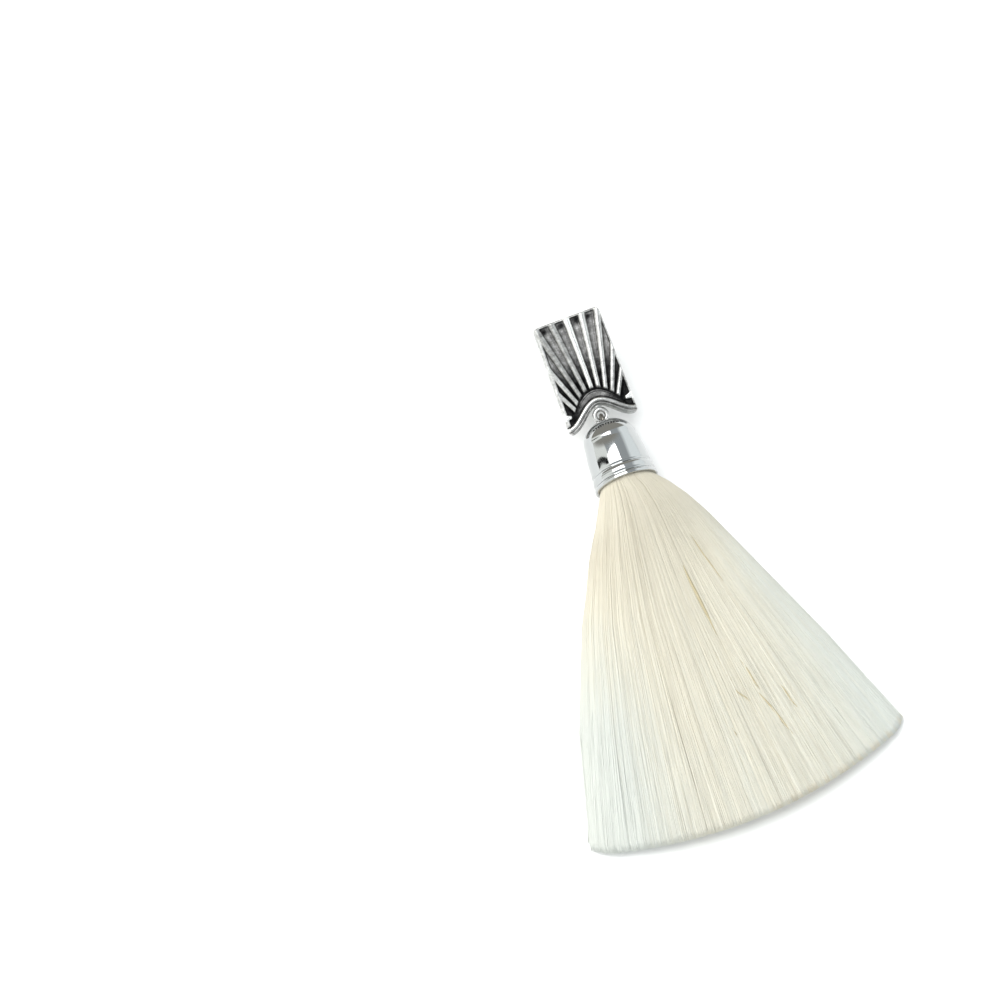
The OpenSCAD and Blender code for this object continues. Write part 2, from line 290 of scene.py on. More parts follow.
@dataclass(frozen=True)
class PlatedMetal:
    """Plated metal, polished bright or left satin.

    It mirrors what stands round it, and faint marks from handling dull it a little in places.
    """

    name: str
    base: str
    low_rough: float
    high_rough: float
    mark_mm: float = 1.2
    bump_mm: float = 0.004

    def make(self) -> Finish:
        """Builds the material, whose gloss varies a little in marks of a real size.

        Returns:
            The material.
        """
        material, tree = new_material(self.name)
        place = add_node(tree, "ShaderNodeTexCoord").outputs["Object"]
        look = {"Vector": place, "Scale": 1 / (self.mark_mm * MM), "Detail": 3.0}
        marks = add_node(tree, "ShaderNodeTexNoise", look).outputs["Fac"]
        gloss = {"To Min": self.low_rough, "To Max": self.high_rough}
        spread = {"Value": marks, "From Min": 0.3, "From Max": 0.7, **gloss}
        rough = add_node(tree, "ShaderNodeMapRange", spread).outputs[0]
        relief = {"Height": marks, "Distance": self.bump_mm * MM, "Strength": 0.3}
        bump = add_node(tree, "ShaderNodeBump", relief).outputs[0]
        metal = {"Base Color": linear(self.base), "Metallic": 1.0, "Normal": bump}
        shader = add_node(tree, "ShaderNodeBsdfPrincipled", {**metal, "Roughness": rough})
        add_node(tree, "ShaderNodeOutputMaterial", {0: shader.outputs[0]})
        return material


@dataclass(frozen=True)
class IvoryFibre:
    """Fine viscose yarn, combed straight and cut.

    It looks soft and creamy, because light passes on through the thin strands.
    """

    name: str = "ivory_viscose_fibre"
    # From the painted shadows of the partings and cut ends, through the warm middle of the bundle, to
    # its edges, paled by painted light
    tint_stops: tuple[tuple[float, str], ...] = (
        (0.0, "#D2C5A3"),
        (0.12, "#E6DFCD"),
        (0.5, "#F5F0E0"),
        (1.0, "#EEF1EB"),
    )
    streak_mm: float = 1.6
    streak_share: float = 0.12
    passing: float = 0.22

    def make(self) -> Finish:
        """Builds the material, which reads each strand's own tint from the attribute tint.

        Returns:
            The material.
        """
        material, tree = new_material(self.name)
        tint = add_node(tree, "ShaderNodeAttribute", attribute_name="tint").outputs["Fac"]
        _, mixed = drift(tree, tint, self.streak_mm, self.streak_share)
        colour = add_node(tree, "ShaderNodeValToRGB", {"Fac": mixed})
        set_ramp(colour, self.tint_stops)
        skin = {"Roughness": 0.6, "IOR": 1.53, "Specular IOR Level": 0.2}
        skin["Base Color"] = colour.outputs["Color"]
        shader = add_node(tree, "ShaderNodeBsdfPrincipled", skin)
        through = add_node(tree, "ShaderNodeBsdfTranslucent", {"Color": colour.outputs["Color"]})
        parts = {0: self.passing, 1: shader.outputs[0], 2: through.outputs[0]}
        both = add_node(tree, "ShaderNodeMixShader", parts)
        add_node(tree, "ShaderNodeOutputMaterial", {0: both.outputs[0]})
        return material


@dataclass(frozen=True)
class MattBoard:
    """Matt painted board, which throws soft light back if white and none if black."""

    name: str
    base: str
    rough: float
    gloss: float

    def make(self) -> Finish:
        """Builds the material, plain and matt.

        Returns:
            The material.
        """
        material, tree = new_material(self.name)
        paint = {"Base Color": linear(self.base), "Roughness": self.rough}
        paint["Specular IOR Level"] = self.gloss
        shader = add_node(tree, "ShaderNodeBsdfPrincipled", paint)
        add_node(tree, "ShaderNodeOutputMaterial", {0: shader.outputs[0]})
        return material


# Meshes


def to_object(bm: Shape, name: str, material: Finish, smooth: bool = True) -> Piece:
    """Turns a bmesh in millimetres into an object at the origin.

    Args:
        bm: The shape, freed afterwards.
        name: Name of the piece.
        material: Its finish.
        smooth: Whether its faces are shaded smooth.

    Returns:
        The new object.
    """
    bmesh.ops.scale(bm, vec=(MM, MM, MM), verts=bm.verts[:])
    mesh = bpy.data.meshes.new(name)
    bm.to_mesh(mesh)
    bm.free()
    for polygon in mesh.polygons:
        polygon.use_smooth = smooth
    mesh.materials.append(material)
    piece = bpy.data.objects.new(name, mesh)
    bpy.context.collection.objects.link(piece)
    return piece


def declare(piece: Piece, slot: Slot, *nodes: str) -> None:
    """Fastens a piece to the body, hides the solids that it stands for and logs the slot it is
    dressed from.

    Args:
        piece: The finished piece.
        slot: Material slot of the record.
        nodes: Names of the solids that it replaces.
    """
    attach(piece, BODY)
    if nodes:
        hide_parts(*nodes)
    LOG.info("%s: %d faces, %s", piece.name, len(piece.data.polygons), slot.value)


def stack_rings(bm: Shape, segments: int, rings: int) -> None:
    """Extrudes a closed straight tube of unit radius, with a ring at each whole height.

    Args:
        bm: Empty bmesh that gets the tube.
        segments: Corners of each ring.
        rings: Number of rings.
    """
    bmesh.ops.create_circle(bm, cap_ends=True, segments=segments, radius=1.0)
    cap = bm.faces[:]
    for number in range(1, rings):
        out = bmesh.ops.extrude_face_region(bm, geom=cap)["geom"]
        if number > 1:
            bmesh.ops.delete(bm, geom=cap, context="FACES_ONLY")
        cap = [g for g in out if isinstance(g, bmesh.types.BMFace)]
        ring = [g for g in out if isinstance(g, bmesh.types.BMVert)]
        bmesh.ops.translate(bm, vec=(0, 0, 1), verts=ring)


def add_ring(
    bm: Shape, place: Matrix, wire_r: float, segments: int, axis: tuple[int, int, int]
) -> list[bmesh.types.BMVert]:
    """Spins a round wire section into a closed ring about the origin.

    Args:
        bm: Bmesh that gets the ring.
        place: Place and turn of the section.
        wire_r: Radius of the wire.
        segments: Corners of the section.
        axis: Axis that the section spins round.

    Returns:
        The ring's vertices.
    """
    before = set(bm.verts)
    circle = bmesh.ops.create_circle(bm, segments=segments, radius=wire_r, matrix=place)
    geom = circle["verts"] + list({e for v in circle["verts"] for e in v.link_edges})
    turn = {"cent": (0, 0, 0), "axis": axis, "angle": 2 * math.pi}
    bmesh.ops.spin(bm, geom=geom, steps=RING_STEPS, use_merge=True, **turn)
    return [v for v in bm.verts if v not in before]


def add_rod(
    bm: Shape, place: Matrix, radii: tuple[float, float], length: float, segments: int
) -> list[bmesh.types.BMVert]:
    """Adds a closed round rod or cone.

    Args:
        bm: Bmesh that gets the rod.
        place: Place and turn of its middle.
        radii: Radius at its start and at its end.
        length: Its length.
        segments: Corners of its section.

    Returns:
        The rod's vertices.
    """
    size = {"radius1": radii[0], "radius2": radii[1], "depth": length, "segments": segments}
    return bmesh.ops.create_cone(bm, cap_ends=True, matrix=place, **size)["verts"]


def smoothstep(low: float, high: float, value: Field) -> Field:
    """Rises smoothly from 0 at low to 1 at high."""
    s = np.clip((value - low) / (high - low), 0, 1)
    return s * s * (3 - 2 * s)


@dataclass
class StudPlate:
    """Cast plate: nine rays over a moulding shaped like an ogee arch, and a loop under it."""

    half_w: float = 5.3
    taper: float = 0.2
    top_y: float = 4.4
    foot_y: float = -11.85
    back_z: float = 0.45
    ground_z: float = 1.65
    corner_r: float = 0.8
    rim_w: float = 1.0
    flare: float = 0.3
    arch_rise: float = 2.9
    rim_h: float = 0.55
    edge_roll: float = 0.26
    # Rings of the side walls: share of the way down, and how far they are drawn in
    wall_rings: tuple[tuple[float, float], ...] = ((0.5, 1.0), (0.93, 1.0), (1.0, 0.985))
    ray_step: float = 7.0
    # How far the crest of each ray is rubbed bright, from left to right
    ray_wear: tuple[float, ...] = (0.74, 0.74, 0.6, 0.62, 0.93, 0.76, 0.72, 0.66, 0.66)
    focus_y: float = -15.0
    # A ray's half width at the hub and what it gains, and the stretch from the focus where it gains
    ray_half: float = 0.37
    ray_gain: float = 0.26
    ray_from: float = 8.0
    ray_over: float = 11.0
    # Height in shares of the half width, and how full the ray's section is
    ray_rise: float = 0.8
    ray_full: float = 0.8
    flank_away: float = 0.12
    flank_w: float = 0.2
    hub_top: float = -7.0
    hub_fall: float = 5.9
    ray_start: float = 0.45
    # Tone of the ground near the hub and what it gains outwards, with the stretch where it gains
    ground_black: float = 0.1
    ground_grey: float = 0.45
    grey_from: float = 8.5
    grey_to: float = 14.5
    border: tuple[float, float, float] = (0.55, 0.35, 0.3)
    border_h: float = 0.3
    border_tone: float = 0.7
    # Hollows under the top border that never get rubbed: place across the plate and radius
    pits: tuple[tuple[float, float], ...] = ((-3.65, 0.5), (-1.05, 0.42), (1.3, 0.52), (3.25, 0.36))
    pit_drop: float = 0.9
    pit_dark: float = 0.42
    # Triangles beside the lobes: lower and upper side above the foot, their slopes, and width
    patch_low: float = 1.85
    patch_high: float = 3.05
    patch_slopes: tuple[float, float] = (0.2, 0.4)
    patch_w: float = 1.3
    patch_tone: float = 0.97
    # Thin line over the moulding, and the low band under it
    line_half: float = 0.18
    line_h: float = 0.14
    band_h: float = 0.07
    band_tone: float = 0.45
    # Round bead of the moulding, across its centreline, and the lip that slopes out under it
    bead_mid: float = 0.12
    bead_half: float = 0.36
    bead_end: float = 0.5
    bead_tone: float = 0.86
    groove_tone: float = 0.16
    lip_h: float = 0.3
    lip_fall: float = 0.75
    lip_tone: float = 0.66
    loop_y: float = -10.7
    loop_r: float = 0.9
    loop_wire: float = 0.35
    loop_lift: float = 0.4
    loop_tone: float = 0.74
    neck_radii: tuple[float, float] = (0.34, 0.62)
    neck_shape: tuple[float, float, float, float] = (1.35, 0.75, 1, 1)
    columns: int = 176
    rows: int = 250

    def arch_y(self, x: Field) -> Field:
        """Gives the moulding's centreline across the plate."""
        rise = self.arch_rise * (1 + np.cos(np.pi * x / self.half_w)) / 2
        return self.foot_y + self.rim_w / 2 + rise

    def arch_lean(self, x: Field) -> Field:
        """Gives the cosine of the centreline's slope angle."""
        slope = self.arch_rise * np.pi / (2 * self.half_w) * np.sin(np.pi * x / self.half_w)
        return 1 / np.sqrt(1 + slope**2)

    def half_at(self, y: Field) -> Field:
        """Gives the plate's half width at a height, a little narrower at its top."""
        share = np.clip((y - self.foot_y) / (self.top_y - self.foot_y), 0, 1)
        return self.half_w - self.taper * share

    def outline(self, x: Field) -> tuple[Field, Field]:
        """Gives the plate's lowest and highest point in each column.

        Args:
            x: Places across the plate.

        Returns:
            Lower and upper edge.
        """
        over = np.clip(np.abs(x) - (self.half_w - self.corner_r), 0, self.corner_r)
        drop = self.corner_r - np.sqrt(np.maximum(self.corner_r**2 - over**2, 0))
        low = self.arch_y(x) - (self.rim_w / 2 + self.flare) / self.arch_lean(x)
        return low + drop * 0.9, self.top_y - drop

    def ray_relief(self, x: Field, y: Field) -> tuple[Field, Field, Field]:
        """Gives the rays' relief.

        Args:
            x: Places across the plate.
            y: Places along the plate.

        Returns:
            Height above the ground, brightness from wear, and nearness to a flank from 0 to 1.
        """
        height, worn, near = (np.zeros_like(x) for _ in range(3))
        reach = np.hypot(x, y - self.focus_y)
        angle = np.arctan2(x, y - self.focus_y)
        start = y - self.hub_line(x) - self.ray_start
        middle = (len(self.ray_wear) - 1) / 2
        for i, wear in enumerate(self.ray_wear):
            turn = math.radians(self.ray_step * (i - middle))
            across = reach * np.sin(angle - turn)
            gain = np.clip((reach - self.ray_from) / self.ray_over, 0, 1)
            width = self.ray_half + self.ray_gain * gain
            crest = np.maximum(0, 1 - (across / width) ** 2) ** self.ray_full
            height = np.maximum(height, crest * width * self.ray_rise)
            worn = np.maximum(worn, wear * smoothstep(0.0, 0.7, crest))
            aside = (np.abs(across) - width - self.flank_away) / self.flank_w
            near = np.maximum(near, np.exp(-(aside**2)))
        fade = smoothstep(-0.3, 0.35, start)
        return height * fade, worn * fade, near * fade

    def hub_line(self, x: Field) -> Field:
        """Gives the thin line between the rays and the moulding across the plate."""
        return self.hub_top - self.hub_fall * (x / self.half_w) ** 2

    def patch_relief(self, x: Field, y: Field) -> Field:
        """Gives the raised triangles beside the lobes.

        Args:
            x: Places across the plate.
            y: Places along the plate.

        Returns:
            Share of their height from 0 to 1.
        """
        inward = self.half_w - np.abs(x)
        lower = y - self.foot_y - self.patch_low - inward * self.patch_slopes[0]
        upper = self.foot_y + self.patch_high - y - inward * self.patch_slopes[1]
        raised = smoothstep(-0.08, 0.14, np.minimum(lower, upper))
        return raised * smoothstep(self.patch_w, self.patch_w - 0.3, inward)

    def field_tone(self, x: Field, y: Field, flank: Field) -> Field:
        """Gives the tone of the ground between the rays: grey where open, black where narrow.

        Args:
            x: Places across the plate.
            y: Places along the plate.
            flank: Nearness to a ray's flank.

        Returns:
            Tone from 0 to 1.
        """
        reach = np.hypot(x, y - self.focus_y)
        grey = self.ground_grey * smoothstep(self.grey_from, self.grey_to, reach)
        tone = self.ground_black + grey - 0.12 * flank
        for place, radius in self.pits:
            away = np.hypot(x - place, y - (self.top_y - self.pit_drop)) / radius
            tone = tone - self.pit_dark * np.exp(-(away**2))
        return tone

    def relief(self, x: Field, y: Field) -> tuple[Field, Field]:
        """Gives the whole relief and how far it is rubbed bright, with painted side shading on the
        border and moulding.

        Args:
            x: Places across the plate.
            y: Places along the plate.

        Returns:
            Height above the ground, and tone from 0, black oxide, to 1, bright metal.
        """
        s = (y - self.arch_y(x)) * self.arch_lean(x)
        hub = y - self.hub_line(x)
        above = smoothstep(0.4, 0.62, s)

        ray, worn, flank = self.ray_relief(x, y)
        height = ray * above
        tone = np.maximum(self.field_tone(x, y, flank), worn * above)
        tone = np.where(hub < self.ray_start, np.minimum(tone, 0.04 + worn), tone)

        left, top, right = self.border
        half = self.half_at(y)
        frame_in = np.minimum.reduce([x + half - left, half - right - x, self.top_y - top - y])
        grey = self.band_tone - 0.3 * smoothstep(1.4, 3.6, np.abs(x))
        # Painted shade: the border darkens a little towards the right
        frame_tone = self.border_tone - 0.04 * smoothstep(2.0, 5.0, x)
        # The line and its band, the border and the patches: where they are, height and tone
        for share, rise, shade in (
            (np.maximum(0, 1 - (hub / self.line_half) ** 2), self.line_h, grey),
            (smoothstep(0.0, -0.25, hub), self.band_h, grey),
            (smoothstep(0.14, -0.1, frame_in), self.border_h, frame_tone),
            (self.patch_relief(x, y), self.border_h, self.patch_tone),
        ):
            height = np.maximum(height, rise * (share * above))
            tone = np.maximum(tone, shade * (share * above))

        # The moulding: a round bead, a groove under it and a lip that slopes out to the flared foot
        # Painted light and shade: towards the right the bead's crest is darker and the lip lighter
        side = smoothstep(-0.5, 2.5, x)
        bead = np.sqrt(np.maximum(0, 1 - ((s - self.bead_mid) / self.bead_half) ** 2))
        round_h = self.rim_h * bead
        height = np.where(s < self.bead_end, round_h, np.maximum(height, round_h))
        crest = (self.bead_tone - 0.16 * side) * smoothstep(0.25, 0.85, bead)
        tone = np.where(s < self.bead_end + 0.05, np.maximum(self.groove_tone, crest), tone)
        tone = np.where(s < 0.1, np.maximum(tone, 0.5), tone)
        lip = smoothstep(-0.12, -0.42, s)
        out = np.clip((-s - 0.4) / (self.flare + 0.1), 0, 1)
        slope = self.lip_h - self.lip_fall * out**1.3
        height = np.where(s < -0.2, np.maximum(height, 0.0) * (1 - lip) + slope * lip, height)
        tone = np.maximum(tone, (self.lip_tone + 0.08 * side) * lip)
        return height, np.clip(tone, 0.0, 1.0)

    def build_plate(self, bm: Shape) -> dict[int, float]:
        """Adds the plate's relief, walls and back to the casting.

        Args:
            bm: The casting's bmesh.

        Returns:
            Tone of each vertex by its number.
        """
        cells = {"x_segments": self.columns, "y_segments": self.rows}
        grid = bmesh.ops.create_grid(bm, size=1.0, **cells)["verts"]
        across = np.array([v.co.x for v in grid])
        along = (np.array([v.co.y for v in grid]) + 1) / 2
        # Columns gather towards the sides, where the corners turn
        gather = math.pi / 2 * 0.96
        x = self.half_w * np.sin(across * gather) / math.sin(gather)
        low, high = self.outline(x)
        y = low + (high - low) * along
        x = x * self.half_at(y) / self.half_w
        height, tone = self.relief(x, y)
        sides = [self.half_at(y) - np.abs(x), high - y, (y - low) * self.arch_lean(x)]
        rim = np.minimum.reduce(sides)
        inside = np.clip(self.edge_roll - rim, 0, self.edge_roll)
        roll = self.edge_roll - np.sqrt(np.maximum(self.edge_roll**2 - inside**2, 0))
        z = self.ground_z + height - roll * (1 + np.maximum(height, 0) / self.edge_roll * 0.6)
        for vert, px, py, pz in zip(grid, x, y, z):
            vert.co = (px, py, pz)
        tones = dict(zip((v.index for v in grid), tone))

        rim_edges = [e for e in bm.edges if e.is_boundary]
        for drop, inset in self.wall_rings:
            out = bmesh.ops.extrude_edge_only(bm, edges=rim_edges)["geom"]
            ring = [g for g in out if isinstance(g, bmesh.types.BMVert)]
            rim_edges = [g for g in out if isinstance(g, bmesh.types.BMEdge)]
            for vert in ring:
                vert.co.z = self.ground_z - (self.ground_z - self.back_z) * drop
                vert.co.x *= inset
        back = bmesh.ops.edgeloop_fill(bm, edges=rim_edges)["faces"]
        bmesh.ops.triangulate(bm, faces=back)
        bm.verts.index_update()
        return tones

    def build_loop(self, bm: Shape) -> None:
        """Adds the hanging loop with its neck to the casting.

        Args:
            bm: The casting's bmesh.
        """
        middle = self.back_z + self.loop_lift
        section = Matrix.Translation((self.loop_r, 0, 0)) @ Matrix.Rotation(math.pi / 2, 4, "X")
        ring = add_ring(bm, section, self.loop_wire, 20, (0, 0, 1))
        bmesh.ops.translate(bm, vec=(0, self.loop_y, middle), verts=ring)
        place = Matrix.Translation((0, self.loop_y + self.loop_r + 0.45, middle))
        place = place @ Matrix.Rotation(-math.pi / 2, 4, "X") @ Matrix.Diagonal(self.neck_shape)
        neck = add_rod(bm, place, self.neck_radii, 1.0, 24)
        faces = list({f for v in ring + neck for f in v.link_faces})
        bmesh.ops.recalc_face_normals(bm, faces=faces)

    def build(self, finish: Finish) -> None:
        """Builds the whole casting and tips it as the solid is tipped.

        Args:
            finish: Its material.
        """
        bm = bmesh.new()
        tones = self.build_plate(bm)
        self.build_loop(bm)
        layer = bm.verts.layers.float.new("tone")
        bm.verts.index_update()
        for vert in bm.verts:
            vert[layer] = tones.get(vert.index, self.loop_tone)
        tip = Matrix.Rotation(LIE.pitch, 3, "X")
        bmesh.ops.rotate(bm, cent=(0, 0, 0), matrix=tip, verts=bm.verts[:])
        declare(to_object(bm, "plate_casting", finish), Slot.PLATE, "stud_plate")


@dataclass
class EyePin:
    """Wire eye round the loop's lower bar, with its stem and stop inside the cap."""

    wire_r: float = 0.3
    eye_r: float = 0.95
    stop_r: float = 0.8
    stop_depth: float = 2.2
    stop_edge: float = 0.12

    def build(self, finish: Finish) -> None:
        """Builds the pin where its solid is.

        Args:
            finish: Its material.
        """
        axis_z, eye_y = LIE.axis_z, LIE.eye_y
        end_y = LIE.apex_y - self.stop_depth - self.stop_r
        bm = bmesh.new()
        section = Matrix.Translation((0, self.eye_r, 0))
        ring = add_ring(bm, section, self.wire_r, 18, (1, 0, 0))
        bmesh.ops.translate(bm, vec=(0, eye_y, axis_z), verts=ring)
        start_y = eye_y - self.eye_r
        along = Matrix.Rotation(math.pi / 2, 4, "X")
        stem = start_y - end_y - self.stop_r / 2
        middle = Matrix.Translation((0, start_y - stem / 2, axis_z))
        add_rod(bm, middle @ along, (self.wire_r, self.wire_r), stem, 18)
        middle = Matrix.Translation((0, end_y + self.stop_r / 2, axis_z))
        stop = add_rod(bm, middle @ along, (self.stop_r, self.stop_r), self.stop_r, 32)
        rim = [e for e in {e for v in stop for e in v.link_edges} if e.calc_face_angle(0) > 1]
        edge = {"offset": self.stop_edge, "segments": 3, "profile": 0.5}
        bmesh.ops.bevel(bm, geom=rim, affect="EDGES", material=-1, clamp_overlap=True, **edge)
        bmesh.ops.recalc_face_normals(bm, faces=bm.faces[:])
        LIE.hang(bm)
        declare(to_object(bm, "eye_wire", finish), Slot.WIRE, "eye_pin")


@dataclass(frozen=True)
class BellCap:
    """Bright turned bell with a seat for the eye and fine grooves round its mouth."""

    length: float = 10.3
    mouth_r: float = LIE.mouth_r
    shoulder_r: float = 4.0
    dome_h: float = 3.4
    wall: float = 0.6
    crown: float = 2.1
    seat_r: float = 1.4
    seat_depth: float = LIE.seat_depth
    seat_edge: float = 0.1
    # How the seat's wall turns out into the dome: past the seat's radius, and depth
    seat_lip: tuple[tuple[float, float], ...] = ((0.0, 0.32), (0.03, 0.22))
    bore_r: float = 0.4
    grooves: tuple[float, ...] = (2.15, 0.8)
    groove_w: float = 0.46
    groove_depth: float = 0.2
    bead: float = 0.05
    barrel: float = 0.1
    rim_drop: float = 0.12
    steps: int = 144

    def skirt(self, d: float) -> float:
        """Gives the outer radius, a little barrelled.

        Args:
            d: Distance from the apex.

        Returns:
            Radius there.
        """
        share = (d - self.dome_h) / (self.length - self.dome_h)
        bulge = self.barrel * math.sin(math.pi * min(1, share * 1.5)) if share > 0 else 0
        return self.shoulder_r + (self.mouth_r - self.shoulder_r) * share + bulge

    def profile(self) -> list[tuple[float, float]]:
        """Draws the closed section.

        Returns:
            Pairs of radius and distance from the apex.
        """
        points = [(self.bore_r, self.seat_depth), (self.seat_r - self.seat_edge, self.seat_depth)]
        points.append((self.seat_r, self.seat_depth - self.seat_edge))
        points += [(self.seat_r + out, depth) for out, depth in self.seat_lip]
        lip = math.asin((self.seat_r + self.seat_edge) / self.shoulder_r)
        for i in range(25):
            t = lip + (math.pi / 2 - lip) * i / 24
            points.append((self.shoulder_r * math.sin(t), self.dome_h * (1 - math.cos(t))))
        plain = self.length - self.grooves[0] - self.groove_w - self.dome_h
        points += [(self.skirt(d), d) for d in (self.dome_h + plain * k / 13 for k in range(1, 14))]
        stops = [self.length - inset for inset in self.grooves]
        stops.append(self.length - 0.2 + self.groove_w / 2)
        for middle, following in zip(stops, stops[1:]):
            for k in range(9):
                d = middle + self.groove_w * (k / 8 - 0.5)
                depth = self.groove_depth * (1 - abs(k / 4 - 1) ** 1.6)
                points.append((self.skirt(d) - depth, d))
            for k in range(1, 6):
                d = middle + self.groove_w / 2 + (following - middle - self.groove_w) * k / 6
                points.append((self.skirt(d) + self.bead * math.sin(math.pi * k / 6), d))
        for k in range(9):
            t = math.pi * k / 8
            r = self.mouth_r - self.wall / 2 + self.wall / 2 * math.cos(t)
            points.append((r, self.length + self.rim_drop * (math.sin(t) - 1)))
        inner = self.shoulder_r - self.wall
        end = self.dome_h + self.wall
        for i in range(13):
            t = math.pi / 2 - (math.pi / 2 - math.asin(self.bore_r / inner)) * i / 12
            d = self.crown + (end - self.crown) * (1 - math.cos(t))
            points.append((inner * math.sin(t), d))
        return points

    def build(self, finish: Finish) -> None:
        """Turns the section round the cap's axis.

        Args:
            finish: Its material.
        """
        axis_z, apex_y = LIE.axis_z, LIE.apex_y
        bm = bmesh.new()
        verts = [bm.verts.new((r, apex_y - d, axis_z)) for r, d in self.profile()]
        edges = [bm.edges.new((a, b)) for a, b in zip(verts, verts[1:] + verts[:1])]
        turn = {"cent": (0, apex_y, axis_z), "axis": (0, 1, 0), "angle": 2 * math.pi}
        bmesh.ops.spin(bm, geom=verts + edges, steps=self.steps, use_merge=True, **turn)
        bmesh.ops.recalc_face_normals(bm, faces=bm.faces[:])
        LIE.hang(bm)
        declare(to_object(bm, "bell_cap", finish), Slot.CAP, "tassel_cap")


@dataclass
class Tassel:
    """Fan of fine cut fibres in loose locks, round a denser heart."""

    cap: BellCap = BellCap()
    clearance: float = 0.18
    reach: float = 63.4
    slant: float = 1.1
    undercut: float = 1.2
    corner: float = 1.0
    fan_half: float = 22.9
    opening: float = 0.8
    lean: float = 1.6
    hook: float = 2.2
    end_t: float = 3.2
    settle: float = 10.0
    edge_t: float = 0.05
    thinning: float = 2.2
    start: float = 6.2
    fibre_r: float = 0.04
    fibre_gain: float = 0.2
    groups: int = 4
    per_group: int = 3500
    # Heights that part the groups, in shares of the half thickness; the top one is packed closest
    levels: tuple[float, ...] = (-1.0, -0.5, 0.1, 0.84, 1.0)
    locks: int = 110
    lock_draw: float = 0.05
    # Strays, and how far they bow out past the left and right edge, in shares of the half width
    strays: int = 72
    stray_left: float = 0.055
    stray_right: float = 0.02
    seed: int = 7
    stations: tuple[float, ...] = (0.0, 0.07, 0.11, 0.16, 0.205, 0.25, 0.42, 0.7, 0.98, 1.0)
    # Tint: middle, spread; painted light at the edges and the end; painted shade at mouth, flank and
    # cut
    tint_mid: float = 0.46
    tint_lock: float = 0.02
    tint_own: float = 0.03
    # The heart's tint is deeper than the middle's: painted shade between the strands
    heart_shade_tint: float = 0.3
    painted_light_left: float = 0.48
    painted_light_right: float = 0.35
    painted_light_end: float = 0.2
    painted_shade_mouth: float = 0.28
    painted_shade_flank: float = 0.4
    painted_shade_cut: float = 0.45
    # Painted shadows in the partings between locks: distance from the apex and share of the half
    # width at both ends, and half width
    parting_shadows: tuple[tuple[float, float, float, float, float], ...] = (
        (25.0, 0.215, 36.3, 0.217, 0.27),
        (37.1, 0.115, 43.2, 0.156, 0.19),
        (46.5, 0.309, 54.3, 0.38, 0.2),
        (52.6, 0.033, 55.6, 0.06, 0.14),
        (21.5, 0.501, 29.8, 0.547, 0.11),
        (41.0, 0.3, 46.2, 0.326, 0.12),
        (47.0, 0.477, 51.1, 0.493, 0.14),
        (36.4, -0.189, 39.4, -0.156, 0.12),
        (49.6, 0.018, 52.4, 0.023, 0.1),
        (44.6, 0.154, 47.1, 0.217, 0.11),
    )
    parting_lift: float = 0.085
    # Rings of the heart inside the cap, how far it stays back from the cut, and its shares of
    # the bundle's half width and half thickness
    heart_head: tuple[float, ...] = (4.6, 7.0)
    heart_back: float = 3.5
    heart_w: float = 0.86
    heart_t: float = 0.55

    def core_r(self, d: Field) -> Field:
        """Gives the radius that the cap leaves for the bundle.

        Args:
            d: Distance from the cap's apex.

        Returns:
            Radius there.
        """
        cap = self.cap
        end = cap.dome_h + cap.wall
        s = (np.minimum(d, cap.length) - end) / (cap.length - end)
        return cap.shoulder_r - cap.wall + (cap.mouth_r - cap.shoulder_r) * s - self.clearance

    def point(self, d: Field, u: Field, v: Field) -> Field:
        """Gives points of the bundle.

        Args:
            d: Distance from the cap's apex.
            u: Share of the half width, from -1 to 1.
            v: Share of the half thickness, from -1 to 1.

        Returns:
            Points in millimetres, with x, y and z on the last axis.
        """
        free = d - self.cap.length
        past = np.clip(free / (self.reach - self.cap.length), 0, 1)
        core = self.core_r(d)
        thick = self.end_t + (2 * core - self.end_t) * (1 - past) ** self.thinning
        thick = thick * np.sqrt(np.maximum(0, 1 - (1 - self.edge_t) * u * u))
        widest = self.reach * math.sin(math.radians(self.fan_half))
        half = core + (widest - core) * past**self.opening
        spread = smoothstep(0, self.settle, free)
        low = (LIE.axis_z - thick / 2) * (1 - spread) + (LIE.table_z + self.fibre_r) * spread
        lean = self.lean + self.hook * (1 - smoothstep(0, 2 * self.settle, free))
        lean = np.radians(lean * smoothstep(0, self.settle / 3, free))
        turn = np.arcsin(np.minimum(1, half * np.abs(u) / d)) * np.sign(u) + lean
        out = d * (1 - spread) + d * np.cos(turn) * spread
        x, y, z = d * np.sin(turn), LIE.apex_y - LIE.eye_y - out, low + (v + 1) / 2 * thick
        cos, sin = math.cos(LIE.hang_turn), math.sin(LIE.hang_turn)
        return np.stack([x * cos - y * sin, LIE.eye_y + x * sin + y * cos, z], axis=-1)

    def strand_template(self) -> tuple[Field, list[tuple[int, ...]]]:
        """Makes one straight three-sided strand with an operator for each stretch.

        Returns:
            Its vertices, one ring after another, and its faces.
        """
        bm = bmesh.new()
        stack_rings(bm, 3, len(self.stations))
        bmesh.ops.recalc_face_normals(bm, faces=bm.faces[:])
        places = {v: (round(v.co.z), round(math.atan2(v.co.y, v.co.x), 3)) for v in bm.verts}
        order = sorted(bm.verts, key=places.get)
        number = {vert: i for i, vert in enumerate(order)}
        points = np.array([v.co[:] for v in order])
        faces = [tuple(number[v] for v in f.verts) for f in bm.faces]
        bm.free()
        return points, faces

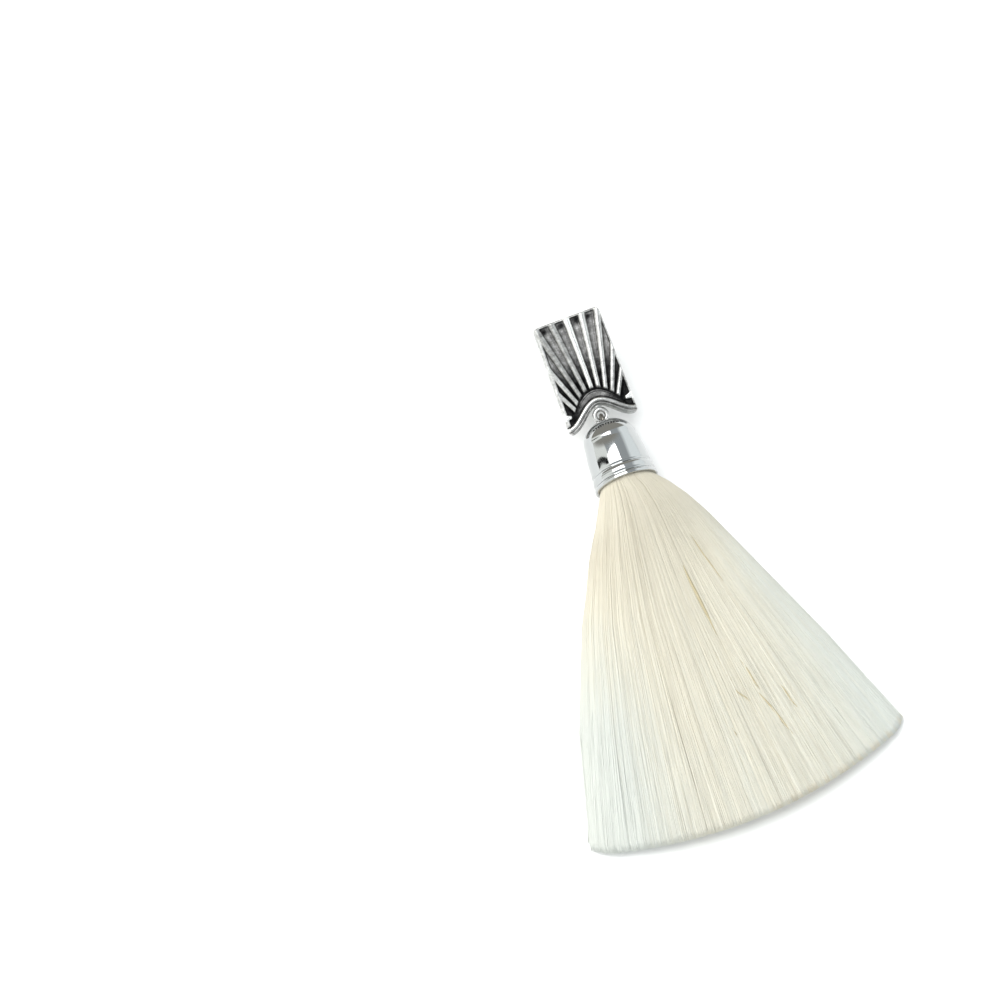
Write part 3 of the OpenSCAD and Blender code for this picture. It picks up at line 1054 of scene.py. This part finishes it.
    def strand_paths(self, rng: np.random.Generator, group: int) -> tuple[Field, Field]:
        """Lays the strands of one group.

        Args:
            rng: Source of random draws.
            group: Number of the group, from the table upwards.

        Returns:
            Points of each strand's path, and its tint at each of them.
        """
        count = self.per_group
        v_low, v_span = self.levels[group], self.levels[group + 1] - self.levels[group]
        lock_u = np.sin(rng.uniform(-1, 1, self.locks) * math.pi / 2) * 0.97
        lock_v = v_low + rng.uniform(0.1, 0.9, self.locks) * v_span
        lock_wave = rng.uniform(0, 2 * math.pi, (self.locks, 2))
        lock_tint = rng.normal(0, self.tint_lock, self.locks)
        u = rng.uniform(-1, 1, count) + rng.normal(0, 0.006, count)
        v = v_low + rng.uniform(0, 1, count) * v_span
        beside, above = np.abs(u[:, None] - lock_u[None, :]), np.abs(v[:, None] - lock_v[None, :])
        nearest = np.argmin(beside * 3 + above, axis=1)
        draw = rng.uniform(0.0, self.lock_draw, self.locks)[nearest][:, None]
        s = np.array(self.stations)[None, :]
        wave = lock_wave[nearest]
        own = rng.uniform(0, 2 * math.pi, (count, 2))
        gather = draw * smoothstep(0.2, 1.0, s)
        u_path = u[:, None] + (lock_u[nearest] - u)[:, None] * gather
        ripple = 0.006 * np.sin(5.1 * s + wave[:, :1]) + 0.004 * np.sin(13 * s + own[:, :1])
        u_path = u_path + ripple * s
        v_path = v[:, None] + (lock_v[nearest] - v)[:, None] * gather
        v_path = v_path + 0.02 * np.sin(9 * s + own[:, 1:]) * s
        # A few strays bow out past the fan's left edge, and fewer past its right one
        out = np.zeros(count)
        out[: self.strays] = -rng.uniform(0.0, self.stray_left, self.strays)
        out[: self.strays // 4] = rng.uniform(0.0, self.stray_right, self.strays // 4)
        u = np.where(out == 0, u, np.sign(out) * 0.99)
        bow = smoothstep(0.15, 0.6, s) * smoothstep(1.1, 0.8, s)
        u_path = np.where(out[:, None] == 0, u_path, u[:, None] + out[:, None] * bow)
        # The cut runs a little back under the top layer
        corner = self.corner * smoothstep(0.88, 1.02, np.abs(u)) ** 2
        cut = self.slant * u + self.undercut * (1 - v) / 2 + corner
        length = (self.reach - cut - rng.gamma(1.6, 0.12, count))[:, None]
        d = self.start + (length - self.start) * s
        paths = self.point(d, np.clip(u_path, -1.08, 1.08), np.clip(v_path, -1, 1))
        tint = self.strand_tint(u[:, None], s) + lock_tint[nearest][:, None]
        return paths, tint + rng.normal(0, self.tint_own, (count, 1))

    def strand_tint(self, u: Field, s: Field) -> Field:
        """Gives the tint along each strand: warm in the middle, with painted light and shade round
        it.

        Args:
            u: Share of the half width of each strand.
            s: Share of the length of each station.

        Returns:
            Tint of each strand at each station.
        """
        # Painted light: the edges are paler, the left one most, as if the white table showed through
        # the thin fan
        left, right = smoothstep(-0.3, -0.95, u), smoothstep(0.45, 0.95, u)
        pale = (self.painted_light_left * left + self.painted_light_right * right) * smoothstep(0.0, 0.4, s)
        # Painted shade: darker near the cap's mouth, and on the left flank part way down
        near = self.painted_shade_mouth * smoothstep(0.5, 0.05, s)
        stretch = smoothstep(0.11, 0.27, s) * smoothstep(0.6, 0.35, s)
        flank = self.painted_shade_flank * smoothstep(-0.3, -0.85, u) * stretch
        # Painted shade: the cut ends are darker in patches, in the right half alone
        patch = smoothstep(-0.3, 0.4, np.sin(97 * u + 1.3) * np.sin(41 * u))
        cut = self.painted_shade_cut * patch * smoothstep(0.0, 0.15, u) * smoothstep(0.98, 1.0, s)
        # Painted light: paler towards the cut
        return self.tint_mid + pale + self.painted_light_end * s**2 - near - flank - cut

    def sweep(self, paths: Field, radius: Field, rng: np.random.Generator) -> Field:
        """Puts the strand template along every path.

        Args:
            paths: Points of each path.
            radius: Radius at each station, of each strand or of all.
            rng: Source of random draws.

        Returns:
            Vertices of all strands in millimetres.
        """
        local = self.strand_template()[0].reshape(len(self.stations), 3, 3)[:, :, :2]
        tangent = np.gradient(paths, axis=1)
        tangent /= np.linalg.norm(tangent, axis=2, keepdims=True)
        side = np.cross(tangent, np.array([0.0, 0.0, 1.0]))
        side /= np.linalg.norm(side, axis=2, keepdims=True)
        up = np.cross(tangent, side)
        roll = rng.uniform(-0.15, 0.15, len(paths))
        cos, sin = np.cos(roll)[:, None, None, None], np.sin(roll)[:, None, None, None]
        x, y = local[None, :, :, 0:1], local[None, :, :, 1:2]
        offset = (x * cos - y * sin) * side[:, :, None, :] + (x * sin + y * cos) * up[:, :, None, :]
        return paths[:, :, None, :] + radius[:, :, None, None] * offset

    def to_piece(self, name: str, verts: Field, tint: Field, finish: Finish) -> None:
        """Makes one piece of a set of swept strands.

        Args:
            name: Name of the piece.
            verts: Vertices of all its strands in millimetres.
            tint: Tint of each strand at each station.
            finish: Its material.
        """
        faces = self.strand_template()[1]
        per_strand = 3 * len(self.stations)
        mesh = bpy.data.meshes.new(name)
        every = [tuple(i + n * per_strand for i in f) for n in range(len(tint)) for f in faces]
        mesh.from_pydata((verts.reshape(-1, 3) * MM).tolist(), [], every)
        layer = mesh.attributes.new("tint", "FLOAT", "POINT").data
        layer.foreach_set("value", np.repeat(tint.ravel(), 3).astype(np.float32))
        # The cut ends stay flat, so that they don't darken the strand's last stretch
        mesh.polygons.foreach_set("use_smooth", [len(f) > 3 for f in faces] * len(tint))
        mesh.materials.append(finish)
        mesh.update()
        piece = bpy.data.objects.new(name, mesh)
        bpy.context.collection.objects.link(piece)
        declare(piece, Slot.FIBRE, "tassel")

    def build_strands(self, finish: Finish) -> None:
        """Builds the strands as one piece for each group, from the table upwards.

        Args:
            finish: Their material.
        """
        radius = self.fibre_r * (1 + self.fibre_gain * np.array(self.stations))[None, :]
        for group in range(self.groups):
            rng = np.random.default_rng(self.seed + group)
            paths, tint = self.strand_paths(rng, group)
            verts = self.sweep(paths, radius, rng)
            self.to_piece(f"tassel_fibres_{group + 1}", verts, tint, finish)

    def build_parting_shadows(self, finish: Finish) -> None:
        """Builds painted shadows in the partings of the top layer, as slim lens-shaped strips of the
        deepest tint.

        Args:
            finish: Their material.
        """
        rng = np.random.default_rng(self.seed)
        d0, u0, d1, u1, half = np.array(self.parting_shadows).T[:, :, None]
        s = np.array(self.stations)[None, :]
        lens = half * np.sin(np.pi * (0.02 + 0.96 * s)) ** 0.8
        wave = 0.004 * np.sin(7 * s + rng.uniform(0, 2 * math.pi, half.shape))
        paths = self.point(d0 + (d1 - d0) * s, u0 + (u1 - u0) * s + wave, np.ones_like(lens))
        paths[:, :, 2] += self.parting_lift - lens * 0.5
        verts = self.sweep(paths, lens, rng)
        # Tint 0 is the ramp's deepest colour: the strips are painted shadow
        self.to_piece("tassel_parting_shadows", verts, np.zeros_like(lens), finish)

    def build_heart(self, finish: Finish) -> None:
        """Builds the dense heart, whose deeper tint is painted shade that shows between the strands.

        Args:
            finish: Its material.
        """
        bm = bmesh.new()
        free = np.linspace(self.cap.length, self.reach - self.heart_back, 22)
        stops = np.concatenate([self.heart_head, free])
        stack_rings(bm, 64, len(stops))
        unit = np.array([v.co[:] for v in bm.verts])
        d = stops[np.rint(unit[:, 2]).astype(int)]
        angle = np.arctan2(unit[:, 1], unit[:, 0])
        ripple = 1 + 0.08 * np.sin(23 * angle + 0.15 * d) * np.clip((d - 12) / 20, 0, 1)
        skin = self.point(d, unit[:, 0] * self.heart_w, unit[:, 1] * self.heart_t * ripple)
        for vert, place in zip(bm.verts, skin):
            vert.co = place
        bmesh.ops.recalc_face_normals(bm, faces=bm.faces[:])
        layer = bm.verts.layers.float.new("tint")
        for vert in bm.verts:
            vert[layer] = self.heart_shade_tint
        declare(to_object(bm, "tassel_heart", finish), Slot.FIBRE, "tassel")


@dataclass
class Studio:
    """White table, soft light from the plate's side, and the camera."""

    azimuth: float = -21.53
    elevation: float = 70.8
    distance: float = 1000.0
    lens: float = 247.9
    target: tuple[float, float, float] = (-17.7, -15.48, -7.73)
    box_place: tuple[float, float, float] = (-200, 110, 620)
    box_size: tuple[float, float] = (560, 540)
    box_power: float = 4.3
    # Room seen from the earring, from its left wall to its right one
    room_stops: tuple[tuple[float, str], ...] = (
        (0.0, "#DEE0DC"),
        (0.24, "#DEE0DC"),
        (0.27, "#94989A"),
        (0.78, "#94989A"),
        (0.86, "#DDE2E3"),
    )
    # Wall behind the plate, and between which directions it starts
    back_wall: str = "#86847E"
    back_from: float = 0.56
    back_full: float = 0.6
    room_strength: float = 1.8
    table_half: float = 1500.0
    table_gap: float = 0.02
    card: tuple[tuple[float, float, float], ...] = (
        (-267, 111, -4),
        (-180, 111, 195),
        (-186, 93, 198),
        (-273, 95, -4),
    )

    def back_vector(self) -> Vector:
        """Gives the direction from the target to the camera."""
        a, e = math.radians(self.azimuth), math.radians(self.elevation)
        return Vector((math.sin(a) * math.cos(e), -math.cos(a) * math.cos(e), math.sin(e)))

    def add_camera(self) -> None:
        """Adds the camera and makes it the scene's own."""
        data = bpy.data.cameras.new("camera")
        data.lens = self.lens
        data.clip_start = 0.01
        camera = bpy.data.objects.new("camera", data)
        back = self.back_vector()
        camera.location = (Vector(self.target) + back * self.distance) * MM
        camera.rotation_euler = back.to_track_quat("Z", "Y").to_euler()
        bpy.context.collection.objects.link(camera)
        bpy.context.scene.camera = camera

    def add_soft_box(self) -> None:
        """Adds the soft box above the earring, level and facing down."""
        data = bpy.data.lights.new("soft_box", "AREA")
        data.shape = "RECTANGLE"
        data.size, data.size_y = (side * MM for side in self.box_size)
        data.energy = self.box_power
        light = bpy.data.objects.new("soft_box", data)
        light.location = Vector(self.box_place) * MM
        bpy.context.collection.objects.link(light)

    def add_room(self) -> None:
        """Adds the room: pale walls to the left and right, and a dim one between and behind."""
        world = bpy.data.worlds.new("soft_room")
        world.use_nodes = True
        tree = world.node_tree
        facing = add_node(tree, "ShaderNodeTexCoord").outputs["Generated"]
        ways = add_node(tree, "ShaderNodeSeparateXYZ", {0: facing}).outputs
        across = {"Value": ways["X"], "From Min": -1.0, "From Max": 1.0}
        share = add_node(tree, "ShaderNodeMapRange", across).outputs[0]
        walls = add_node(tree, "ShaderNodeValToRGB", {"Fac": share})
        set_ramp(walls, self.room_stops)
        along = {"Value": ways["Y"], "From Min": self.back_from, "From Max": self.back_full}
        behind = add_node(tree, "ShaderNodeMapRange", along).outputs[0]
        colours = {0: behind, 6: walls.outputs["Color"], 7: linear(self.back_wall)}
        room = add_node(tree, "ShaderNodeMix", colours, data_type="RGBA")
        sky = tree.nodes["Background"]
        tree.links.new(room.outputs[2], sky.inputs["Color"])
        sky.inputs["Strength"].default_value = self.room_strength
        bpy.context.scene.world = world

    def add_dark_card(self, finish: Finish) -> None:
        """Adds the slim dark card beside the earring, which shows only as a dark spot on the cap.

        Args:
            finish: Its material.
        """
        bm = bmesh.new()
        corners = [bm.verts.new(place) for place in self.card]
        bm.faces.new(corners)
        card = to_object(bm, "dark_card", finish, smooth=False)
        card.visible_camera = card.visible_diffuse = card.visible_shadow = False

    def add_table(self, finish: Finish) -> None:
        """Adds the table under the earring.

        Args:
            finish: Its material.
        """
        bm = bmesh.new()
        bmesh.ops.create_grid(bm, x_segments=4, y_segments=4, size=self.table_half)
        floor = to_object(bm, "table", finish, smooth=False)
        for vert in floor.data.vertices:
            vert.co.z = CAD_BOX[0][2] - self.table_gap * MM

    def build(self) -> None:
        """Builds the table, the lights, the sky and the camera."""
        self.add_table(MattBoard("matt_white_board", "#FFFFFF", rough=0.9, gloss=0.1).make())
        self.add_dark_card(MattBoard("matt_black_card", "#0A0A0A", rough=1.0, gloss=0.0).make())
        self.add_soft_box()
        self.add_room()
        bpy.context.scene.view_settings.view_transform = "Standard"
        self.add_camera()


def main() -> None:
    """Builds the pieces in order, dresses them and sets up the studio."""
    logging.basicConfig(level=logging.INFO, format="%(name)s: %(message)s")
    satin = {"low_rough": 0.25, "high_rough": 0.4}
    mirror = {"low_rough": 0.05, "high_rough": 0.09}
    StudPlate().build(OxidisedCasting().make())
    # Painted shade: the wire gets a dark colour, so that it stands in for the shade in the loop's
    # hole
    EyePin().build(PlatedMetal("plated_wire_darkened_as_shade", "#77746E", **satin).make())
    BellCap().build(PlatedMetal("mirror_plated_cap", "#B8BABA", **mirror).make())
    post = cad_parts["ear_post"]
    post.data.materials.clear()
    post.data.materials.append(PlatedMetal("satin_plated_post", "#C9C8C4", **satin).make())
    fibre = IvoryFibre().make()
    tassel = Tassel()
    tassel.build_heart(fibre)
    tassel.build_strands(fibre)
    tassel.build_parting_shadows(fibre)
    Studio().build()


if __name__ == "__main__":
    main()
